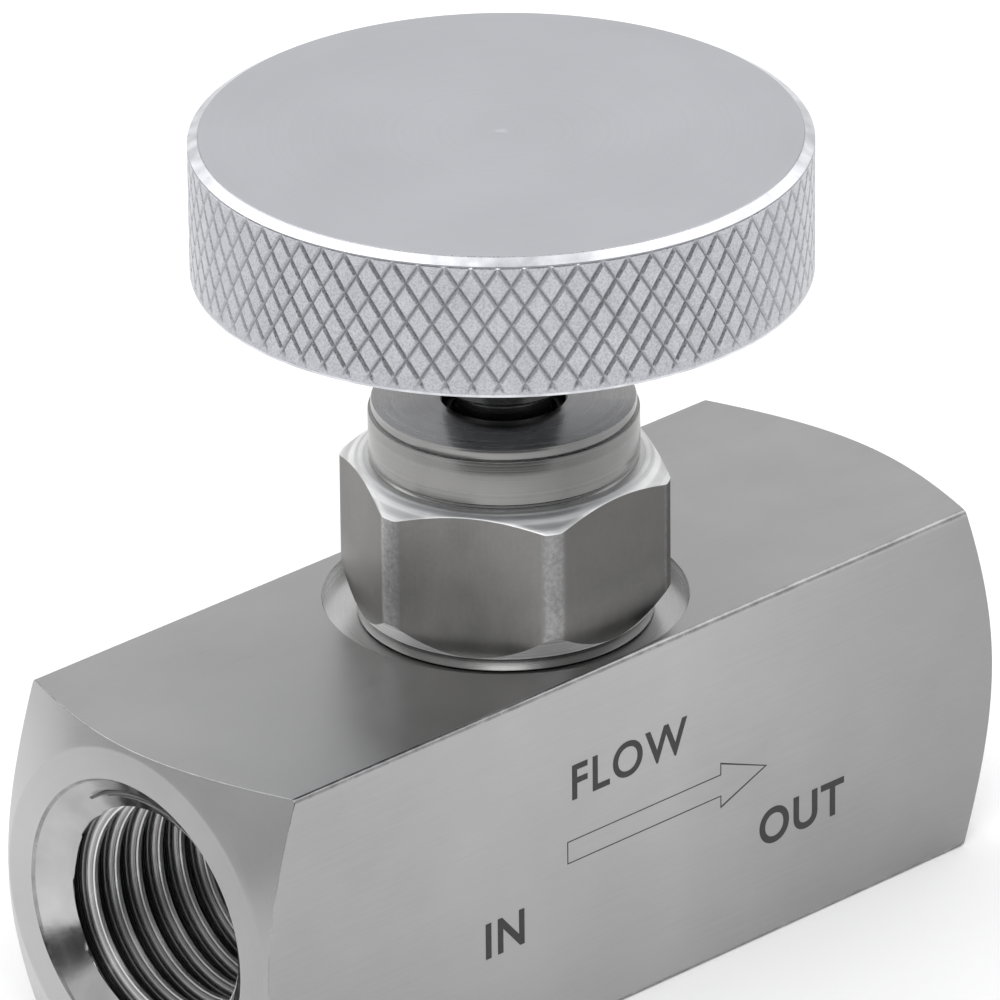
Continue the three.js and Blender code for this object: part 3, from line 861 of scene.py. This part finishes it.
def valve_body():
    """The bar, with its ports, the bonnet's socket and the drillings that join them."""
    materials = [ground_bar(), turned_end(), cut_thread(), broken_edge(), spotface(), countersink()]
    piece = body_skin(materials)
    carve(piece, socket_cutter(materials))
    reach = END - PORT_DEPTH + DRILL_OVERLAP
    inlet_start = (-reach, 0, INLET_HOLE_LOW + reach * INLET_HOLE_SLOPE)
    inlet_end = (0, 0, INLET_HOLE_LOW)
    orifice_end = (0, 0, ORIFICE_TOP)
    outlet_start = (0, 0, OUTLET_HOLE_HEIGHT)
    outlet_end = (reach, 0, OUTLET_HOLE_HEIGHT)
    for start, end, radius in (
        (inlet_start, inlet_end, INLET_HOLE_RADIUS),
        (inlet_end, orifice_end, ORIFICE_RADIUS),
        (outlet_start, outlet_end, OUTLET_HOLE_RADIUS),
    ):
        carve(piece, drill(materials, start, end, radius, THREAD))
    finish_piece(piece, "valve", "valve_body")


# ---- Bonnet ----

HEX_FACE, LATHED, CHAMFER = range(3)


def hexagon_outline():
    """Angles and radii round a hexagon whose corners are turned down, with a small blend at each edge."""
    edge = math.acos(HEX_FLATS / 2 / HEX_CORNER_RADIUS)
    near, past, corner = edge - 0.008, edge + 0.012, math.pi / 6  # more points where flat meets corner
    half = np.concatenate([
        np.linspace(0, near, 13)[:-1], np.linspace(near, past, 9)[:-1], np.linspace(past, corner, 4),
    ])
    side = np.concatenate([-half[:0:-1], half[:-1]])
    flat = HEX_FLATS / 2 / np.cos(side)
    gap = (flat - HEX_CORNER_RADIUS) / HEX_BLEND
    radius = flat - HEX_BLEND * np.logaddexp(0, gap)
    angles = np.concatenate([side + corner + k * math.pi / 3 for k in range(6)])
    return angles + HEX_TURN, np.tile(radius, 6)


def bonnet():
    """The bonnet as one skin: up its shank, collar, hexagon and neck, and down its bore."""
    angles, hexagon = hexagon_outline()
    rings, bands = [], []

    def ring(radius, height, slot=LATHED):
        rings.append(upright_ring(radius, height, angles))
        bands.append(slot)

    ring(SEAL_BORE_RADIUS, SHANK_BOTTOM)
    ring(SHANK_RADIUS - SHANK_CHAMFER, SHANK_BOTTOM)
    ring(SHANK_RADIUS, SHANK_BOTTOM + SHANK_CHAMFER)
    ring(SHANK_RADIUS, SEAL_LEDGE)
    ring(UNDERCUT_RADIUS, SEAL_LEDGE + UNDERCUT_SLANT)
    ring(UNDERCUT_RADIUS, COLLAR_BOTTOM)
    ring(COLLAR_RADIUS - COLLAR_EDGE, COLLAR_BOTTOM)
    ring(COLLAR_RADIUS - EASE, COLLAR_BOTTOM + COLLAR_EDGE / 3)
    ring(COLLAR_RADIUS, COLLAR_BOTTOM + COLLAR_EDGE)
    low = COLLAR_TOP + (hexagon - COLLAR_RADIUS) * COLLAR_CHAMFER_SLOPE
    high = HEX_TOP - (hexagon - HEX_SHOULDER_RADIUS) * HEX_CHAMFER_SLOPE
    for share in (0, 0.35, 0.7):
        radius = COLLAR_RADIUS + (hexagon - COLLAR_RADIUS) * share
        ring(radius, COLLAR_TOP + (radius - COLLAR_RADIUS) * COLLAR_CHAMFER_SLOPE, CHAMFER)
    ring(hexagon - HEX_NICK, low - HEX_NICK * COLLAR_CHAMFER_SLOPE, HEX_FACE)
    ring(hexagon, low + EASE, HEX_FACE)
    for share in np.linspace(0, 1, 9)[1:-1]:
        ring(hexagon, low + EASE + (high - low - 2 * EASE) * share, HEX_FACE)
    ring(hexagon, high - EASE, CHAMFER)
    ring(hexagon - EASE, high + EASE * 2 / 3, CHAMFER)
    for share in (0.3, 0.65, 1):
        radius = hexagon - (hexagon - HEX_SHOULDER_RADIUS) * share
        ring(radius, HEX_TOP - (radius - HEX_SHOULDER_RADIUS) * HEX_CHAMFER_SLOPE, CHAMFER)
    ring(NECK_RADIUS - NECK_GROOVE / 2, HEX_TOP)
    ring(NECK_RADIUS - NECK_GROOVE, HEX_TOP + NECK_GROOVE / 2)
    ring(NECK_RADIUS - NECK_GROOVE, HEX_TOP + NECK_GROOVE)
    ring(NECK_RADIUS, HEX_TOP + 1.8 * NECK_GROOVE)
    step = NECK_TOP - NECK_RIM_HEIGHT
    ring(NECK_RADIUS, step - NECK_STEP_EDGE)
    ring(NECK_RADIUS - EASE, step)
    for outwards, upwards in NECK_STEP_FOOT:
        ring(NECK_RIM_RADIUS + outwards, step + upwards)
    for outwards, upwards in NECK_RIM_EDGE:
        ring(NECK_RIM_RADIUS + outwards, NECK_TOP + upwards)
    ring(NECK_LIP_RADIUS + NECK_LIP_EDGE, NECK_TOP)
    ring(NECK_LIP_RADIUS, NECK_TOP - NECK_LIP_EDGE)
    ring(NECK_LIP_RADIUS, NECK_TOP - NECK_LIP_DEPTH)
    ring(WIPER_POCKET_RADIUS, NECK_TOP - NECK_LIP_DEPTH)
    ring(WIPER_POCKET_RADIUS, WIPER_POCKET_FLOOR)
    ring(STEM_NUT_RADIUS, WIPER_POCKET_FLOOR)
    ring(STEM_NUT_RADIUS, SEAL_BORE_TOP)
    ring(SEAL_BORE_RADIUS, SEAL_BORE_TOP)
    rings.append(rings[0])
    materials = [bonnet_hex(), bonnet_turned(), bonnet_chamfer()]
    piece = skin("bonnet_machined", materials, rings, bands)
    weld(piece)
    finish_piece(piece, "valve", "bonnet")


# ---- Knob ----

FACE, RIM, KNURL, HUB = range(4)


def knurl_pattern(columns, height):
    """How deep the crossed grooves are, 0 on the pads and 1 along a groove's middle, and which way
    the nearest groove runs."""
    across = columns / KNURL_STEPS
    up = (height - KNURL_TOP) / KNURL_PITCH_UP
    rising = across - up
    falling = across + up
    off_rising = np.abs(rising - np.round(rising))
    off_falling = np.abs(falling - np.round(falling))
    depth = 1 - np.minimum(off_rising, off_falling) / KNURL_HALF_WIDTH
    return np.maximum(depth, 0), off_rising < off_falling


def knob():
    """The knob as one skin, from its bore out round the hub and the knurl to the dimple in its top."""
    count = KNURLS * KNURL_STEPS
    angles = around(count)
    columns = np.arange(count)
    rings, bands, grooves, splits = [], [], [], {}

    def ring(radius, height, slot, groove=0.0):
        if np.ndim(radius) == 0 and radius == 0:
            rings.append(np.array([0, 0, height]))
            grooves.append(np.zeros(1))
        else:
            rings.append(upright_ring(radius, height, angles))
            grooves.append(np.broadcast_to(groove, angles.shape))
        bands.append(slot)

    ring(KNOB_BORE_RADIUS, HUB_BOTTOM, HUB)
    ring(HUB_RADIUS - HUB_CHAMFER, HUB_BOTTOM, RIM)
    ring(HUB_RADIUS - HUB_NICK, HUB_BOTTOM + HUB_CHAMFER - HUB_NICK, HUB)
    ring(HUB_RADIUS, KNOB_BOTTOM - HUB_FILLET, HUB)
    ring(HUB_RADIUS + 0.3 * HUB_FILLET, KNOB_BOTTOM - 0.3 * HUB_FILLET, HUB)
    ring(HUB_RADIUS + HUB_FILLET, KNOB_BOTTOM, FACE)
    ring(KNOB_RADIUS - KNOB_FOOT_EDGE, KNOB_BOTTOM, RIM)
    ring(KNOB_RADIUS - EASE, KNOB_BOTTOM + 0.4 * KNOB_FOOT_EDGE, RIM)
    step = KNURL_PITCH_UP / KNURL_STEPS
    rows = int((KNURL_TOP - KNURL_BOTTOM) / step)
    ring(KNOB_RADIUS, KNURL_TOP - (rows + 0.6) * step, KNURL)
    for row in range(rows, -1, -1):
        height = KNURL_TOP - row * step
        depth, _ = knurl_pattern(columns, height)
        _, split = knurl_pattern(columns + 0.5, height + step / 2)
        fade = min(1, 0.4 + row / 2, 0.1 + (rows - row) / 4)
        groove = depth * fade
        splits[len(rings)] = split
        ring(KNOB_RADIUS - KNURL_DEPTH * groove, height, KNURL, groove)
    ring(KNOB_RADIUS - KNURL_LINE_DEPTH, KNURL_TOP + KNURL_LINE_LOW, KNURL, 1.0)
    ring(KNOB_RADIUS - KNURL_LINE_DEPTH, KNURL_TOP + KNURL_LINE_HIGH, KNURL, 1.0)
    ring(KNOB_RADIUS, KNOB_TOP - KNOB_RIM_DROP, RIM)
    ring(KNOB_RADIUS - KNOB_RIM, KNOB_TOP - BREAK, KNURL, 1.0)
    ring(KNOB_RADIUS - KNOB_RIM - KNOB_RIM_STEP, KNOB_TOP, FACE)
    ring(FACE_MIDDLE_RADIUS, KNOB_TOP, FACE)
    for radius, depth in DIMPLE:
        ring(radius, KNOB_TOP - depth, FACE)
    del bands[-1]
    del splits[max(splits)]
    head_rings = [
        np.array([0, 0, KNOB_BORE_POINT]),
        upright_ring(KNOB_BORE_RADIUS, KNOB_BORE_TOP, angles),
    ]
    splits = {key + len(head_rings): value for key, value in splits.items()}
    materials = [knob_face(), knob_rim(), knurled_rim(), knob_hub()]
    piece = skin("knob_knurled", materials, head_rings + rings, [FACE] * len(head_rings) + bands, splits)
    depths = np.concatenate([np.zeros(len(np.atleast_2d(r))) for r in head_rings] + grooves)
    piece.data.attributes.new("groove", "FLOAT", "POINT").data.foreach_set("value", depths)
    for turn in (0, -math.pi / 2):  # towards +Y, then towards +X
        way = Vector((-math.sin(turn), math.cos(turn), 0))
        middle = Vector((0, 0, SCREW_HEIGHT))
        outside = middle + way * (KNOB_RADIUS + CUTTER_PAST)
        carve(piece, drill(materials, middle, outside, SCREW_HOLE_RADIUS, FACE))
    finish_piece(piece, "spindle", "knob")


# ---- Marks on the side ----

def side_plate(name, outline, hole):
    """A thin mark on the -Y side face, from (x, z) points, with a hole of as many points."""
    front, back = -BAR / 2 - MARK_PROUD, -BAR / 2 + MARK_SUNK
    points = [(x, y, z) for y in (front, back) for x, z in outline + hole]
    n = len(outline)
    total = 2 * n
    faces = []
    for i in range(n):
        j = (i + 1) % n
        faces.append((i, j, j + total, i + total))
        faces.append((n + i, n + j, n + j + total, n + i + total)[::-1])
        faces.append((i, i + n, j + n, j))
        faces.append((i + total, j + total, j + n + total, i + n + total))
    mesh = bpy.data.meshes.new(name)
    mesh.from_pydata(points, [], faces)
    if enclosed_volume(mesh) < 0:
        mesh.flip_normals()
    piece = bpy.data.objects.new(name, mesh)
    bpy.context.scene.collection.objects.link(piece)
    return piece


def flow_arrow(ink):
    """A hollow arrow from inlet to outlet."""
    tail, neck, tip = -0.005, 0.0057, 0.009
    middle, shaft, head, line = 0.00965, 0.00062, 0.00128, 0.00005
    outline = [
        (tail, middle - shaft), (neck, middle - shaft), (neck, middle - head), (tip, middle),
        (neck, middle + head), (neck, middle + shaft), (tail, middle + shaft),
    ]
    slant = line * (tip - neck) / head
    barb = 2.2 * line
    hole = [
        (tail + line, middle - shaft + line), (neck + line, middle - shaft + line),
        (neck + line, middle - head + barb), (tip - 1.2 * slant, middle),
        (neck + line, middle + head - barb), (neck + line, middle + shaft - line),
        (tail + line, middle + shaft - line),
    ]
    piece = side_plate("flow_arrow_mark", outline, hole)
    piece.data.materials.append(ink)
    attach(piece, "valve")


def words(name, text, ink, x, z, weight):
    """Etched letters on the -Y side face, starting at x with their feet at z. weight fattens them."""
    font = bpy.data.curves.new(name, "FONT")
    font.body = text
    font.size = LETTER_SIZE
    font.offset = weight
    font.space_character = LETTER_GAPS
    font.extrude = LETTER_PROUD
    letters = bpy.data.objects.new(name, font)
    bpy.context.scene.collection.objects.link(letters)
    settled = letters.evaluated_get(bpy.context.evaluated_depsgraph_get())
    mesh = bpy.data.meshes.new_from_object(settled)
    bpy.data.objects.remove(letters)
    stand = Matrix.Translation((x, -BAR / 2, z)) @ Matrix.Rotation(math.pi / 2, 4, "X")
    mesh.transform(stand)
    mesh.materials.clear()
    mesh.materials.append(ink)
    piece = bpy.data.objects.new(name, mesh)
    bpy.context.scene.collection.objects.link(piece)
    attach(piece, "valve")


def side_marks():
    """Plain flow marks on the side that faces -Y."""
    ink = etched_mark()
    flow_arrow(ink)
    words("flow_word_mark", "FLOW", ink, x=-0.0048, z=0.0125, weight=0.00004)
    words("inlet_word_mark", "IN", ink, x=-0.0108, z=0.0058, weight=0.00006)
    words("outlet_word_mark", "OUT", ink, x=0.0084, z=0.0052, weight=0.00006)


# ---- Pieces kept from the frame ----

def dress_frame():
    """Puts a finish on every node that keeps its frame mesh."""
    steel = ground_stem()
    rubber = black_rubber()
    white = moulded_plastic("white_ring_plastic", (0.74, 0.73, 0.7), (0.84, 0.83, 0.8))
    oxide = black_oxide()
    finishes = {
        "stem": steel,
        "needle": steel,
        "thrust_ball": steel,
        "stem_o_ring": rubber,
        "bonnet_o_ring": rubber,
        "stem_wiper": rubber,
        "stem_backup_ring_lower": white,
        "stem_backup_ring_upper": white,
        "seat_insert": moulded_plastic("seat_plastic", (0.4, 0.3, 0.18), (0.5, 0.39, 0.25)),
        "bonnet_gasket": soft_copper(),
        "needle_retaining_ring": oxide,
        "knob_set_screw_rear": oxide,
        "knob_set_screw_side": oxide,
    }
    for node, material in finishes.items():
        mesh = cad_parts[node].data
        mesh.materials.clear()
        mesh.materials.append(material)


# ---- Studio ----

def floor():
    """A plain pale floor under the part."""
    reach = 3.0
    mesh = bpy.data.meshes.new("floor")
    mesh.from_pydata([(-reach, -reach, 0), (reach, -reach, 0), (reach, reach, 0), (-reach, reach, 0)],
                     [], [(0, 1, 2, 3)])
    f = Finish("pale_floor", Roughness=0.9)
    f.shader.inputs["Base Color"].default_value = (0.9, 0.9, 0.9, 1)
    f.shader.inputs["Specular IOR Level"].default_value = 0.0
    mesh.materials.append(f.material)
    piece = bpy.data.objects.new("floor", mesh)
    bpy.context.scene.collection.objects.link(piece)


def softbox(name, place, size, power):
    """A rectangular light, turned towards the part."""
    target = Vector((0, 0, 0.02))
    lamp = bpy.data.lights.new(name, "AREA")
    lamp.shape = "RECTANGLE"
    lamp.size, lamp.size_y = size
    lamp.energy = power
    light = bpy.data.objects.new(name, lamp)
    light.location = place
    light.rotation_euler = (target - Vector(place)).to_track_quat("-Z", "Y").to_euler()
    bpy.context.scene.collection.objects.link(light)


def studio():
    """A floor, three softboxes, and a pale surround with one dark patch low behind the camera."""
    floor()
    world = bpy.data.worlds.new("studio")
    bpy.context.scene.world = world
    world.use_nodes = True
    nodes, links = world.node_tree.nodes, world.node_tree.links
    background = nodes["Background"]
    background.inputs["Color"].default_value = (1, 1, 1, 1)

    def add(kind, values, **settings):
        node = nodes.new(kind)
        for key, value in settings.items():
            setattr(node, key, value)
        for socket, value in values.items():
            if isinstance(value, bpy.types.NodeSocket):
                links.new(value, node.inputs[socket])
            else:
                node.inputs[socket].default_value = value
        return node.outputs

    def fade(value, start, stop, low, high):
        values = {"Value": value, "From Min": start, "From Max": stop, "To Min": low, "To Max": high}
        return add("ShaderNodeMapRange", values, interpolation_type="SMOOTHSTEP")[0]

    way = add("ShaderNodeTexCoord", {})["Generated"]
    patch_way, patch_height = (-0.7, -0.714, 0), 0.1
    towards = add("ShaderNodeVectorMath", {0: way, 1: patch_way}, operation="DOT_PRODUCT")["Value"]
    up = add("ShaderNodeSeparateXYZ", {0: way})["Z"]
    rise = add("ShaderNodeMath", {0: up, 1: patch_height}, operation="SUBTRACT")[0]
    away = add("ShaderNodeMath", {0: rise}, operation="ABSOLUTE")[0]
    values = {0: fade(towards, 0.7, 0.86, 0.0, 1.0), 1: fade(away, 0.2, 0.36, 1.0, 0.0)}
    dark = add("ShaderNodeMath", values, operation="MULTIPLY")[0]
    pale_strength, dark_strength = 0.86, 0.08
    links.new(fade(dark, 0.0, 1.0, pale_strength, dark_strength), background.inputs["Strength"])
    softbox("left_softbox", (-0.06, 0.35, 0.5), (0.5, 0.5), 1.1)
    softbox("right_softbox", (0.36, -0.04, 0.5), (0.5, 0.5), 0.8)
    softbox("front_softbox", (-0.27, -0.28, 0.46), (0.3, 0.2), 1.1)
    bpy.context.scene.view_settings.view_transform = "Standard"


def camera():
    """A long lens from the inlet's side, above and in front."""
    azimuth, elevation, roll = (math.radians(a) for a in (-43.549, 25.301, -0.584))
    distance, lens = 0.6472, 465.82
    middle = Vector((0, 0, 0.0225))
    to_right, upwards = -0.000094, 0.0014996
    data = bpy.data.cameras.new("camera")
    data.lens = lens
    data.sensor_width = 36
    data.shift_x = -0.00315
    data.shift_y = 0.0013
    data.clip_start = 0.01
    back = Vector((math.sin(azimuth) * math.cos(elevation), -math.cos(azimuth) * math.cos(elevation),
                   math.sin(elevation)))
    level = Vector((math.cos(azimuth), math.sin(azimuth), 0))
    upward = back.cross(level)
    right = math.cos(roll) * level + math.sin(roll) * upward
    up = -math.sin(roll) * level + math.cos(roll) * upward
    target = middle + to_right * right + upwards * up
    turn = Matrix((right, up, back)).transposed().to_4x4()
    piece = bpy.data.objects.new("camera", data)
    piece.matrix_world = Matrix.Translation(target + back * distance) @ turn
    bpy.context.scene.collection.objects.link(piece)
    bpy.context.scene.camera = piece


camera()
studio()
valve_body()
bonnet()
knob()
side_marks()
dress_frame()
